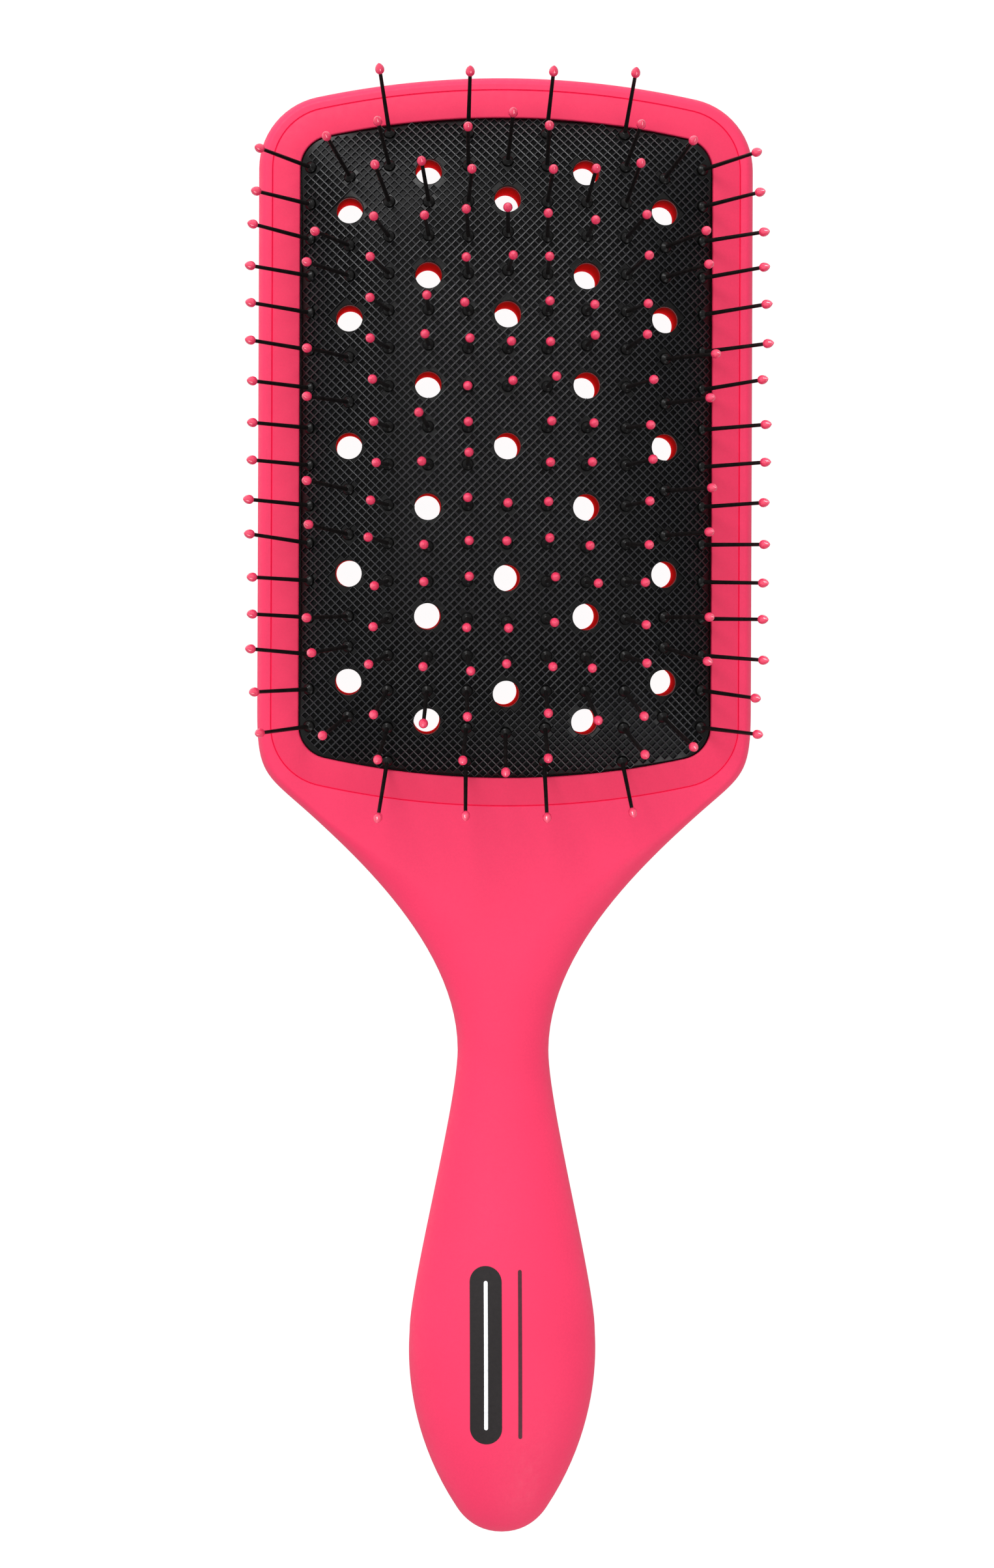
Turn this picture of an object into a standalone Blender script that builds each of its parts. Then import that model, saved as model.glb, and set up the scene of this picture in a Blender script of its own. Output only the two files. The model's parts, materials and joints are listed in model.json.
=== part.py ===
"""Paddle hair brush with a domed, vented rubber cushion and leaning nylon pins.

The brush lies on its back. +X runs across the head, +Y from the handle to the head, and +Z the way
the pins point. The origin is under the middle of the brush, on the surface that it lies on.
Lengths are in millimetres here and become metres when a mesh is made.
"""

import math

import bmesh
import bpy
from mathutils import Vector
from mathutils.geometry import interpolate_bezier

MM = 0.001
GAP = 0.3                     # clearance between neighbouring pieces

# Handle body: the half outline seen from the front, as points with their curve handles
HEAD_HALF_X = 45.35
HEAD_TOP_Y = 133.35
HEAD_BOW_RADIUS = 164.0       # the head's far end is a shallow arc
HEAD_CORNER = 13.4
SHOULDER_Y = 17.0             # where the head's straight side ends
HANDLE_END_Y = -133.35
HALF_OUTLINE = (
    # start, handle, handle, end, steps
    ((45.35, 17.0), (45.35, 4.4), (43.4, 5.4), (33.8, -3.5), 7),       # lower corner of the head
    ((33.8, -3.5), (24.6, -12.0), (8.35, -27.8), (8.35, -45.2), 8),    # shoulder down to the neck
    ((8.35, -45.2), (8.35, -55.3), (17.0, -87.9), (17.0, -96.5), 8),   # neck to the palm swell
    ((17.0, -96.5), (17.0, -98.0), (18.7, -113.0), (8.3, -128.75), 7),  # palm swell to the end
    ((8.3, -128.75), (7.6, -129.8), (5.2, -133.35), (0.0, -133.35), 4),  # blunt end
)
# Heights along the handle: y, underside, widest level, top
SECTIONS = (
    (-101.0, 0.0, 9.2, 19.0),
    (-45.0, 1.2, 7.6, 14.0),
    (-2.0, 0.0, 8.0, 12.0),
)
HEAD_BACK_ROLL = 6.0          # how far the edge rounding reaches in, on the back
HEAD_FRONT_ROLL = 1.6         # and on the front
HANDLE_ROLL = 0.96            # on the handle it reaches nearly to the middle
ROLL_BLEND_LENGTH = 36.0      # over which one rounding passes into the other
ROLL_STEPS = 5
FACE_Z = 12.0                 # front face of the head

# Openings and pieces stacked in the head. Each is a rectangle with bowed ends
PAD_Y = 65.35                 # middle of the head's opening
PAD_HALF_X, PAD_HALF_Y = 37.7, 60.35
PAD_BOW_RADIUS, PAD_CORNER = 154.0, 6.0
SEAT_HALF_X, SEAT_HALF_Y = 42.75, 65.45
SEAT_BOW_RADIUS, SEAT_CORNER = 159.0, 11.1
CAVITY_INSET = 3.4            # shelf that carries the cushion's flange
SHELF_Z, FLOOR_Z = 7.3, 2.2
FRAME_BACK_Z = 9.2
FRAME_BEVEL = 0.5

# Cushion
FLANGE_BACK_Z, FLANGE_FRONT_Z = 7.6, 8.9
SKIN_EDGE_Z = 11.6
DOME_HEIGHT = 10.2
DOME_POWER = 4.5              # nearly flat in the middle, steep at the rim
SKIN_THICKNESS = 1.7
DOME_RINGS = (0.2, 0.48, 0.7, 0.84, 0.92, 0.97, 1.0)

# Pins and vents, by column: the columns are mirrored in x, and the rows in y
COLUMN_PITCH = 7.15
FULL_ROWS = (3.4, 10.7, 17.6, 24.4, 31.1, 37.8, 44.2, 51.0, 57.2)
PIN_ROWS = {
    0: (10.8, 17.6, 31.7, 38.6, 51.9),
    1: FULL_ROWS,
    2: (3.4, 18.2, 24.5, 38.0, 44.2),
    3: FULL_ROWS,
    4: (7.9, 16.0, 30.8, 36.3, 49.0),
    5: FULL_ROWS[:-1],
}
VENT_ROWS = {0: (0.0, 23.8, 44.8), 2: (11.0, 30.8, 49.9), 4: (0.0, 23.1, 42.8)}
VENT_RADIUS = 2.4
TUBE_RADIUS = 3.1
TUBE_DROP = 2.0               # from the cushion's inner face down to the end of a vent tube
VENT_SIDES = 8

PIN_LENGTH = 18.0             # from the skin to the end of the bead
MOST_LEAN = 0.76              # steepest sideways slope that a pin follows
PIN_ROOT_RADIUS, PIN_RADIUS = 0.42, 0.32
PIN_ROOT_LENGTH = 0.6         # thicker stretch above the skin
BEAD_RADIUS, BEAD_LENGTH = 0.78, 2.15
PIN_SIDES = 4
HEAD_DEPTH = 3.7              # from the skin to the middle of the pin heads
HEAD_HALF_WIDTH, HEAD_HALF_HEIGHT = 0.55, 0.45
HEAD_OVERHANG = 0.8
HOLE_RADIUS = 1.02            # four-sided hole, 0.72 mm to its flats

# Plain inlay on the handle, a little left of its middle
BADGE_X = -3.2
BADGE_HALF_WIDTH = 2.9
BADGE_FAR_Y, BADGE_NEAR_Y = -115.5, -83.2
BADGE_BACK_Z = 16.4


def material(name, colour, roughness, metallic=0.0):
    made = bpy.data.materials.new(name)
    made.use_nodes = True
    shader = made.node_tree.nodes["Principled BSDF"]
    shader.inputs["Base Color"].default_value = (*colour, 1.0)
    shader.inputs["Roughness"].default_value = roughness
    shader.inputs["Metallic"].default_value = metallic
    return made


def add_object(name, points, faces, finish=None):
    """A mesh object from points in millimetres. With no material it is a cutter."""
    mesh = bpy.data.meshes.new(name)
    mesh.from_pydata([Vector(p) * MM for p in points], [], faces)
    work = bmesh.new()
    work.from_mesh(mesh)
    bmesh.ops.recalc_face_normals(work, faces=work.faces)
    work.to_mesh(mesh)
    work.free()
    made = bpy.data.objects.new(name, mesh)
    bpy.context.collection.objects.link(made)
    if finish is None:
        made.hide_render = True
        made.display_type = "WIRE"
    else:
        mesh.materials.append(finish)
        mesh.shade_smooth()
        mesh.set_sharp_from_angle(angle=math.radians(35))
    return made


def boolean(target, cutter, operation):
    modifier = target.modifiers.new(cutter.name, "BOOLEAN")
    modifier.operation = operation
    modifier.solver = "EXACT"
    modifier.object = cutter


def loft(rings):
    """Points and faces of a closed skin over rings of equally many points, with flat end faces."""
    count = len(rings[0])
    faces = [tuple(range(count)), tuple(range((len(rings) - 1) * count, len(rings) * count))]
    for ring in range(len(rings) - 1):
        for i in range(count):
            j = (i + 1) % count
            low, high = ring * count, (ring + 1) * count
            faces.append((low + i, low + j, high + j, high + i))
    return [p for ring in rings for p in ring], faces


def joined(shapes):
    """Several (points, faces) as one."""
    points, faces = [], []
    for more_points, more_faces in shapes:
        start = len(points)
        points += more_points
        faces += [tuple(start + i for i in face) for face in more_faces]
    return points, faces


def smoothstep(value):
    value = min(max(value, 0.0), 1.0)
    return value * value * (3.0 - 2.0 * value)


def bowed_quarter(half_x, half_y, bow_radius, corner, steps=5):
    """From the middle of the far end round one corner: an arc, then a fillet that meets the side."""
    arc_centre = half_y - bow_radius
    corner_x = half_x - corner
    rise = math.sqrt((bow_radius - corner) ** 2 - corner_x ** 2)
    corner_y = arc_centre + rise
    turn = math.atan2(corner_x, rise)
    arc = [turn * i / steps for i in range(steps)]
    points = [(bow_radius * math.sin(a), arc_centre + bow_radius * math.cos(a)) for a in arc]
    for i in range(steps + 1):
        angle = turn + (math.pi / 2 - turn) * i / steps
        points.append((corner_x + corner * math.sin(angle), corner_y + corner * math.cos(angle)))
    return points


def bowed_rectangle(half_x, half_y, bow_radius, corner, steps=5, side_steps=6):
    """Closed outline about (0, 0), clockwise from the middle of the far end."""
    quarter = bowed_quarter(half_x, half_y, bow_radius, corner, steps)
    side_y = quarter[-1][1]
    side = [(half_x, side_y * (1 - 2 * i / side_steps)) for i in range(1, side_steps)]
    right = quarter + side + [(x, -y) for x, y in reversed(quarter)]
    return right + [(-x, y) for x, y in reversed(right[1:-1])]


def prism(outline, centre_y, low, high):
    return loft([[(x, y + centre_y, z) for x, y in outline] for z in (low, high)])


def tube_stack(radius, low, high):
    """Upright many-sided cylinders, one for each vent, as one (points, faces). high is a height or a
    function of the vent's place in the pad."""
    turns = [math.tau * i / VENT_SIDES for i in range(VENT_SIDES)]
    circle = [(radius * math.cos(a), radius * math.sin(a)) for a in turns]
    tubes = []
    for x, y in vent_centres():
        top = high(x, y) if callable(high) else high
        tubes.append(loft([[(x + cx, y + PAD_Y + cy, z) for cx, cy in circle] for z in (low, top)]))
    return joined(tubes)


def mirrored_rows(rows):
    return sorted({sign * row for row in rows for sign in (-1, 1)})


def vent_centres():
    """From the middle of the pad."""
    return [(column * COLUMN_PITCH, row)
            for column in range(-4, 5, 2) for row in mirrored_rows(VENT_ROWS[abs(column)])]


def tube_top(x, y):
    """The end of the vent tube at (x, y) stays clear of the cushion's inner face all round its rim."""
    lowest_skin = skin_height(abs(x) + TUBE_RADIUS, abs(y) + TUBE_RADIUS)
    return lowest_skin - SKIN_THICKNESS - TUBE_DROP


# ---- handle body -------------------------------------------------------------------------------

def body_half_outline():
    """Right half from the middle of the far end to the middle of the handle's end."""
    half_y = 60.0
    top = bowed_quarter(HEAD_HALF_X, half_y, HEAD_BOW_RADIUS, HEAD_CORNER)
    points = [(x, y + HEAD_TOP_Y - half_y) for x, y in top]
    side_y = points[-1][1]
    side_steps = 4
    points += [(HEAD_HALF_X, side_y + (SHOULDER_Y - side_y) * i / side_steps)
               for i in range(1, side_steps + 1)]
    for start, first, second, end, steps in HALF_OUTLINE:
        ends = [Vector((*p, 0.0)) for p in (start, first, second, end)]
        curve = interpolate_bezier(*ends, steps + 1)
        points += [(p.x, p.y) for p in curve[1:]]
    points[-1] = (0.0, HANDLE_END_Y)
    return points


def section_at(y):
    """(underside, widest level, top) of the body at y."""
    if y <= SECTIONS[0][0]:
        return SECTIONS[0][1:]
    for near, far in zip(SECTIONS, SECTIONS[1:]):
        if y <= far[0]:
            share = smoothstep((y - near[0]) / (far[0] - near[0]))
            return tuple(a + (b - a) * share for a, b in zip(near[1:], far[1:]))
    return SECTIONS[-1][1:]


def inward_reach(outline, index, roll):
    """How far the rounding moves an outline point in, as a vector."""
    before = Vector(outline[max(index - 1, 0)])
    after = Vector(outline[min(index + 1, len(outline) - 1)])
    if index == 0:
        before = Vector((-after.x, after.y))
    along = (after - before).normalized()
    normal = Vector((along.y, -along.x))
    point = Vector(outline[index])
    spine = Vector((0.0, max(point.y, SECTIONS[0][0])))
    share = smoothstep((SECTIONS[-1][0] - point.y) / ROLL_BLEND_LENGTH)
    return normal * roll * (1 - share) + (spine - point) * HANDLE_ROLL * share


def body_rings():
    outline = body_half_outline()
    rings = []
    for step in range(-ROLL_STEPS, ROLL_STEPS + 1):
        angle = math.pi / 2 * step / ROLL_STEPS
        roll = HEAD_BACK_ROLL if step < 0 else HEAD_FRONT_ROLL
        half = []
        for index, (x, y) in enumerate(outline):
            low, middle, high = section_at(y)
            moved = Vector((x, y)) + inward_reach(outline, index, roll) * (1 - math.cos(angle))
            height = (high - middle) if step > 0 else (middle - low)
            half.append((moved.x, moved.y, middle + height * math.sin(angle)))
        half[0] = (0.0, *half[0][1:])
        half[-1] = (0.0, *half[-1][1:])
        rings.append(half)
    return rings


def body_shape():
    """The solid body: rings joined from the underside to the top, with the two faces closed across."""
    rings = [half + [(-x, y, z) for x, y, z in reversed(half[1:-1])] for half in body_rings()]
    points, faces = loft(rings)
    count = len(rings[0])
    faces = faces[2:]
    for base in (0, (len(rings) - 1) * count):
        for i in range(count // 2):
            corners = (i, i + 1, (count - i - 1) % count, (count - i) % count)
            faces.append(tuple(base + corner for corner in dict.fromkeys(corners)))
    return points, faces


def badge_outline(grow=0.0):
    """Pill with round ends, about the middle of its length."""
    radius = BADGE_HALF_WIDTH + grow
    straight = (BADGE_NEAR_Y - BADGE_FAR_Y) / 2 - BADGE_HALF_WIDTH
    steps = 6
    turns = [math.pi * i / steps for i in range(steps + 1)]
    far = [(radius * math.cos(a), straight + radius * math.sin(a)) for a in turns]
    return [(x + BADGE_X, y) for x, y in far + [(-x, -y) for x, y in far]]


def make_body(pink):
    body = add_object("handle_body", *body_shape(), pink)
    seat = bowed_rectangle(SEAT_HALF_X, SEAT_HALF_Y, SEAT_BOW_RADIUS, SEAT_CORNER)
    cavity = bowed_rectangle(SEAT_HALF_X - CAVITY_INSET, SEAT_HALF_Y - CAVITY_INSET,
                             SEAT_BOW_RADIUS, SEAT_CORNER - CAVITY_INSET)
    above = FACE_Z + 8.0
    badge_y = (BADGE_FAR_Y + BADGE_NEAR_Y) / 2
    boolean(body, add_object("seat_cut", *prism(seat, PAD_Y, SHELF_Z, above)), "DIFFERENCE")
    boolean(body, add_object("cavity_cut", *prism(cavity, PAD_Y, FLOOR_Z, SHELF_Z + 1)), "DIFFERENCE")
    tubes = tube_stack(TUBE_RADIUS, FLOOR_Z / 2, tube_top)
    boolean(body, add_object("vent_tubes", *tubes), "UNION")
    bores = tube_stack(VENT_RADIUS, -1.0, above + DOME_HEIGHT)
    boolean(body, add_object("vent_bores", *bores), "DIFFERENCE")
    recess = prism(badge_outline(GAP), badge_y, BADGE_BACK_Z - GAP, above + 4)
    boolean(body, add_object("badge_recess", *recess), "DIFFERENCE")
    return body


def make_badge(black):
    """Flush inlay: the handle's own surface, trimmed to the pill."""
    badge_y = (BADGE_FAR_Y + BADGE_NEAR_Y) / 2
    shape = prism(badge_outline(), badge_y, BADGE_BACK_Z, FACE_Z + 12.0)
    badge = add_object("grip_badge", *shape, black)
    boolean(badge, add_object("handle_surface", *body_shape()), "INTERSECT")
    return badge


# ---- front frame -------------------------------------------------------------------------------

def make_frame(pink):
    outer = bowed_rectangle(SEAT_HALF_X - GAP, SEAT_HALF_Y - GAP, SEAT_BOW_RADIUS, SEAT_CORNER - GAP)
    inner = bowed_rectangle(PAD_HALF_X, PAD_HALF_Y, PAD_BOW_RADIUS, PAD_CORNER)
    eased = bowed_rectangle(PAD_HALF_X + FRAME_BEVEL, PAD_HALF_Y + FRAME_BEVEL,
                            PAD_BOW_RADIUS, PAD_CORNER + FRAME_BEVEL)
    levels = ((outer, FRAME_BACK_Z), (outer, FACE_Z), (eased, FACE_Z),
              (inner, FACE_Z - FRAME_BEVEL), (inner, FRAME_BACK_Z))
    rings = [[(x, y + PAD_Y, z) for x, y in outline] for outline, z in levels]
    points, faces = loft(rings + rings[:1])
    count = len(outer)
    total = len(rings) * count
    wrapped = [tuple(i % total for i in face) for face in faces[2:]]
    return add_object("front_frame", points[:total], wrapped, pink)


# ---- cushion -----------------------------------------------------------------------------------

def skin_height(x, y):
    """Outer surface of the cushion above the surface that the brush lies on; y from the pad's middle."""
    across = min(abs(x) / (PAD_HALF_X - GAP), 1.0)
    bow = x * x / (2 * PAD_BOW_RADIUS)
    along = min((abs(y) + bow) / (PAD_HALF_Y - GAP), 1.0)
    return SKIN_EDGE_Z + DOME_HEIGHT * (1 - across ** DOME_POWER) * (1 - along ** DOME_POWER)


def skin_normal(x, y):
    step = 0.05
    slope_x = (skin_height(x + step, y) - skin_height(x - step, y)) / (2 * step)
    slope_y = (skin_height(x, y + step) - skin_height(x, y - step)) / (2 * step)
    return Vector((-slope_x, -slope_y, 1.0)).normalized()


def make_cushion(rubber):
    coarse = {"steps": 3, "side_steps": 4}
    edge = bowed_rectangle(PAD_HALF_X - GAP, PAD_HALF_Y - GAP, PAD_BOW_RADIUS, PAD_CORNER - GAP,
                           **coarse)
    flange = bowed_rectangle(SEAT_HALF_X - 2 * GAP, SEAT_HALF_Y - 2 * GAP,
                             SEAT_BOW_RADIUS, SEAT_CORNER - 2 * GAP, **coarse)
    inner_x = 1 - SKIN_THICKNESS / PAD_HALF_X
    inner_y = 1 - SKIN_THICKNESS / PAD_HALF_Y
    outside, inside = [], []
    for share in DOME_RINGS:
        ring = [(x * share, y * share) for x, y in edge]
        outside.append([(x, y + PAD_Y, skin_height(x, y)) for x, y in ring])
        inside.append([(x * inner_x, y * inner_y + PAD_Y, skin_height(x, y) - SKIN_THICKNESS)
                       for x, y in ring])
    rim = [
        [(x, y + PAD_Y, FLANGE_FRONT_Z) for x, y in edge],
        [(x, y + PAD_Y, FLANGE_FRONT_Z) for x, y in flange],
        [(x, y + PAD_Y, FLANGE_BACK_Z) for x, y in flange],
        [(x * inner_x, y * inner_y + PAD_Y, FLANGE_BACK_Z) for x, y in edge],
    ]
    cushion = add_object("cushion", *loft(outside + rim + inside[::-1]), rubber)
    vents = tube_stack(VENT_RADIUS, FLANGE_BACK_Z, FACE_Z + 2 * DOME_HEIGHT)
    boolean(cushion, add_object("cushion_vents", *vents), "DIFFERENCE")
    holes = []
    for column in range(-5, 6):
        for row in mirrored_rows(PIN_ROWS[abs(column)]):
            base, normal = pin_base(column, row)
            holes.append(leaning_solid(base, normal, 4, ((-HEAD_DEPTH, HOLE_RADIUS), (1.5, HOLE_RADIUS))))
    boolean(cushion, add_object("pin_holes", *joined(holes)), "DIFFERENCE")
    return cushion


# ---- pins --------------------------------------------------------------------------------------

def pin_base(column, row):
    """Point where a pin leaves the skin, and its axis: the skin's normal, but less steep at the rim."""
    x = column * COLUMN_PITCH
    normal = skin_normal(x, row)
    lean = min(max(normal.x / normal.z, -MOST_LEAN), MOST_LEAN)
    axis = Vector((lean, normal.y / normal.z, 1.0))
    return Vector((x, row + PAD_Y, skin_height(x, row))), axis.normalized()


def leaning_solid(base, normal, sides, profile):
    """Turned solid about a leaning axis. The profile is (distance along the axis, radius)."""
    across = normal.cross(Vector((0.0, 1.0, 0.0))).normalized()
    other = normal.cross(across)
    rings = []
    for along, radius in profile:
        turns = [math.tau * (i + 0.5) / sides for i in range(sides)]
        rings.append([tuple(base + normal * along + (across * math.cos(a) + other * math.sin(a)) * radius)
                      for a in turns])
    return loft(rings)


def pin_shape(column, row):
    base, normal = pin_base(column, row)
    bead_start = PIN_LENGTH - BEAD_LENGTH
    profile = (
        (-HEAD_DEPTH, PIN_ROOT_RADIUS),
        (PIN_ROOT_LENGTH, PIN_ROOT_RADIUS),
        (bead_start, PIN_RADIUS),
        (bead_start + 0.35 * BEAD_LENGTH, BEAD_RADIUS),
        (PIN_LENGTH, 0.1),
    )
    return leaning_solid(base, normal, PIN_SIDES, profile)


def head_strip(column, rows):
    """Thin bar behind the cushion that holds a run of pins by their heads."""
    anchors = []
    for row in rows:
        base, normal = pin_base(column, row)
        anchors.append(base - normal * HEAD_DEPTH)
    overhang = Vector((0.0, HEAD_OVERHANG, 0.0))
    anchors = [anchors[0] - overhang, *anchors, anchors[-1] + overhang]
    corners = ((1, 1), (-1, 1), (-1, -1), (1, -1))
    return loft([[(p.x + sx * HEAD_HALF_WIDTH, p.y, p.z + sz * HEAD_HALF_HEIGHT) for sx, sz in corners]
                 for p in anchors])


def runs_between_vents(column):
    """The column's rows, split wherever a vent lies between two pins."""
    rows = mirrored_rows(PIN_ROWS[abs(column)])
    vents = mirrored_rows(VENT_ROWS.get(abs(column), ()))
    runs = [[rows[0]]]
    for row in rows[1:]:
        if any(runs[-1][-1] < vent < row for vent in vents):
            runs.append([])
        runs[-1].append(row)
    return runs


def side_name(column):
    if column == 0:
        return "middle"
    return f"{'left' if column < 0 else 'right'}_{abs(column)}"


def make_pins(column, nylon):
    runs = runs_between_vents(column)
    for number, rows in enumerate(runs, 1):
        suffix = f"_run_{number}" if len(runs) > 1 else ""
        name = f"pins_{side_name(column)}{suffix}"
        strip = add_object(name, *head_strip(column, rows), nylon)
        pins = add_object(f"{name}_shafts", *joined(pin_shape(column, row) for row in rows))
        boolean(strip, pins, "UNION")


def clear_scene():
    for item in list(bpy.data.objects):
        bpy.data.objects.remove(item, do_unlink=True)


def main():
    clear_scene()
    pink = material("soft_touch_pink", (0.86, 0.06, 0.18), 0.55)
    black_rubber = material("black_rubber", (0.012, 0.012, 0.013), 0.75)
    black_nylon = material("black_nylon", (0.015, 0.015, 0.016), 0.4)
    black_inlay = material("black_inlay", (0.01, 0.01, 0.011), 0.3)
    make_body(pink)
    make_frame(pink)
    make_cushion(black_rubber)
    for column in range(-5, 6):
        make_pins(column, black_nylon)
    make_badge(black_inlay)


main()
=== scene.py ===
import json
import math
import random

import bmesh
import bpy
from mathutils import Matrix, Vector
from mathutils.geometry import interpolate_bezier


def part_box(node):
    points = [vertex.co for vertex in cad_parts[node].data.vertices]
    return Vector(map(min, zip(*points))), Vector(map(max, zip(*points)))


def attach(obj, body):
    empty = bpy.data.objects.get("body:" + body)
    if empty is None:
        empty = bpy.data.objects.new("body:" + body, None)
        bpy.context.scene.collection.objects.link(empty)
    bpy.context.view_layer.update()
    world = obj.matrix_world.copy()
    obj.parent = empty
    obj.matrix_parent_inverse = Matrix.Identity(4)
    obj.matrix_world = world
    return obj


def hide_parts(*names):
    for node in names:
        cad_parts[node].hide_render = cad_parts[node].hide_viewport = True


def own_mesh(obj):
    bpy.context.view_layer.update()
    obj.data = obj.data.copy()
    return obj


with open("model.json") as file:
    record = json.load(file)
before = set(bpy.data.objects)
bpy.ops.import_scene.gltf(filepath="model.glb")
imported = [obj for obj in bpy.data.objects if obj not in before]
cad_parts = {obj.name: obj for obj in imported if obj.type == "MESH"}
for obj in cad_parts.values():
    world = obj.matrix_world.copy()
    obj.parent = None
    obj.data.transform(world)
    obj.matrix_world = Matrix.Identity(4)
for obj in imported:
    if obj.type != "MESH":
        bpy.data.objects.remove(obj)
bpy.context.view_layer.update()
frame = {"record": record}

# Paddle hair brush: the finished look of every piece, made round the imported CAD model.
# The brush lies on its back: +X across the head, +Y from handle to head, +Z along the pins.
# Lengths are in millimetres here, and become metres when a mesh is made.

MM = 0.001
GAP = 0.3


def box_mm(node):
    low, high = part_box(node)
    return Vector(low) / MM, Vector(high) / MM


BODY_LOW, BODY_HIGH = box_mm("handle_body")
RING_LOW, RING_HIGH = box_mm("front_frame")

# Handle body, as in the CAD: half outline with curve handles, then heights along the handle
HEAD_HALF_X = BODY_HIGH.x
HEAD_TOP_Y = BODY_HIGH.y
HEAD_BOW_RADIUS = 164.0
HEAD_CORNER = 13.4
SHOULDER_Y = 17.0
HALF_OUTLINE = (
    ((HEAD_HALF_X, SHOULDER_Y), (HEAD_HALF_X, 4.4), (43.4, 5.4), (33.8, -3.5)),
    ((33.8, -3.5), (24.6, -12.0), (8.35, -27.8), (8.35, -45.2)),
    ((8.35, -45.2), (8.35, -55.3), (17.0, -87.9), (17.0, -96.5)),
    ((17.0, -96.5), (17.0, -98.0), (18.7, -113.0), (8.3, -128.75)),
    ((8.3, -128.75), (7.6, -129.8), (5.2, BODY_LOW.y), (0.0, BODY_LOW.y)),
)
OUTLINE_STEPS = (20, 24, 26, 22, 12)
SECTIONS = (
    (-101.0, 0.0, 9.2, BODY_HIGH.z),
    (-45.0, 1.2, 7.6, 14.0),
    (-2.0, 0.0, 8.0, RING_HIGH.z),
)
HEAD_BACK_ROLL, HEAD_FRONT_ROLL, HANDLE_ROLL = 6.0, 1.6, 0.96
ROLL_BLEND_LENGTH = 36.0
ROLL_STEPS = 14
FACE_Z = RING_HIGH.z

# The head's opening and what is stacked in it
PAD_Y = (RING_LOW.y + RING_HIGH.y) / 2
PAD_HALF_X, PAD_HALF_Y, PAD_BOW_RADIUS, PAD_CORNER = 37.7, 60.35, 154.0, 6.0
SEAT_HALF_X, SEAT_HALF_Y = RING_HIGH.x + GAP, (RING_HIGH.y - RING_LOW.y) / 2 + GAP
SEAT_BOW_RADIUS, SEAT_CORNER = 159.0, 11.1
CAVITY_INSET = 3.4
SHELF_Z, FLOOR_Z = 7.3, 2.2
FRAME_BACK_Z = RING_LOW.z
SEAM_GAP = 0.025              # the frame is a close fit in its seat
EDGE_ROUND = 0.15             # eased edges on both sides of the seam
FRAME_LIP_ROUND = 0.30        # eased edge of the frame towards the cushion

# Cushion
FLANGE_BACK_Z, FLANGE_FRONT_Z = 7.6, 8.9
SKIN_EDGE_Z, DOME_HEIGHT, DOME_POWER = 11.6, 10.2, 4.5
SKIN_THICKNESS = 1.7
DOME_RING_COUNT = 26
# Each texture cell is a square pit in a raised frame, as (half its diagonal, height above the skin)
CELL_RINGS = ((0.787, -0.06), (0.787, 0.27), (0.65, 0.30), (0.55, 0.02))
CELL_STEP = 0.79              # half the distance between cells in one row, so that they just clear
CELL_EDGE_MARGIN = 0.9        # bare skin left at the cushion's rim,
CELL_VENT_MARGIN = 0.50       # round a vent's lip
CELL_PIN_MARGIN = 0.3         # and round a pin's boss

# Pins and vents, by column
COLUMN_PITCH = 7.15
FULL_ROWS = (3.4, 10.7, 17.6, 24.4, 31.1, 37.8, 44.2, 51.0, 57.2)
PIN_ROWS = {
    0: (10.8, 17.6, 31.7, 38.6, 51.9),
    1: FULL_ROWS,
    2: (3.4, 18.2, 24.5, 38.0, 44.2),
    3: FULL_ROWS,
    4: (7.9, 16.0, 30.8, 36.3, 49.0),
    5: FULL_ROWS[:-1],
}
VENT_ROWS = {0: (0.0, 23.8, 44.8), 2: (11.0, 30.8, 49.9), 4: (0.0, 23.1, 42.8)}
VENT_RADIUS, TUBE_RADIUS, TUBE_DROP = 2.4, 3.1, 2.0
VENT_LIP = 0.16               # width of the smooth lip round a vent
ROUND_SIDES = 40
PIN_LENGTH = 18.0
PIN_ROOT_RADIUS, PIN_RADIUS = 0.44, 0.34
BEAD_RADIUS, BEAD_LENGTH = 0.84, 2.35
BOSS_RADIUS, BOSS_HEIGHT = 1.12, 0.95
# Rounded outlines of a boss and a bead, as (share of the height, share of the radius)
BOSS_SHAPE = ((-0.4, 1.02), (0.0, 1.02), (0.22, 1.0), (0.42, 0.93),
              (0.60, 0.80), (0.74, 0.64), (0.84, 0.52), (1.0, 0.44))
BEAD_SHAPE = ((-0.04, 0.44), (0.02, 0.62), (0.10, 0.84), (0.20, 0.96), (0.32, 1.0), (0.44, 0.97),
              (0.57, 0.86), (0.69, 0.70), (0.80, 0.50), (0.89, 0.31), (0.96, 0.14), (1.0, 0.03))
MOST_LEAN = 0.79              # steepest sideways slope that a pin follows
ROW_LEAN = {51.0: 0.8, 57.2: 1.12}   # how the rows near the ends lean endways, against the others
CORNER_PIN = (5, FULL_ROWS[-2])
CORNER_PIN_LEAN = 1.8         # the last pin of an outermost column leans further out
LEAN_SPREAD_X, LEAN_SPREAD_Y = 0.030, 0.040   # how unevenly the pins stand, in radians
LEAN_TO_FAR_END = 0.034       # and how far they all lean towards the far end
SEED = 11

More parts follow.
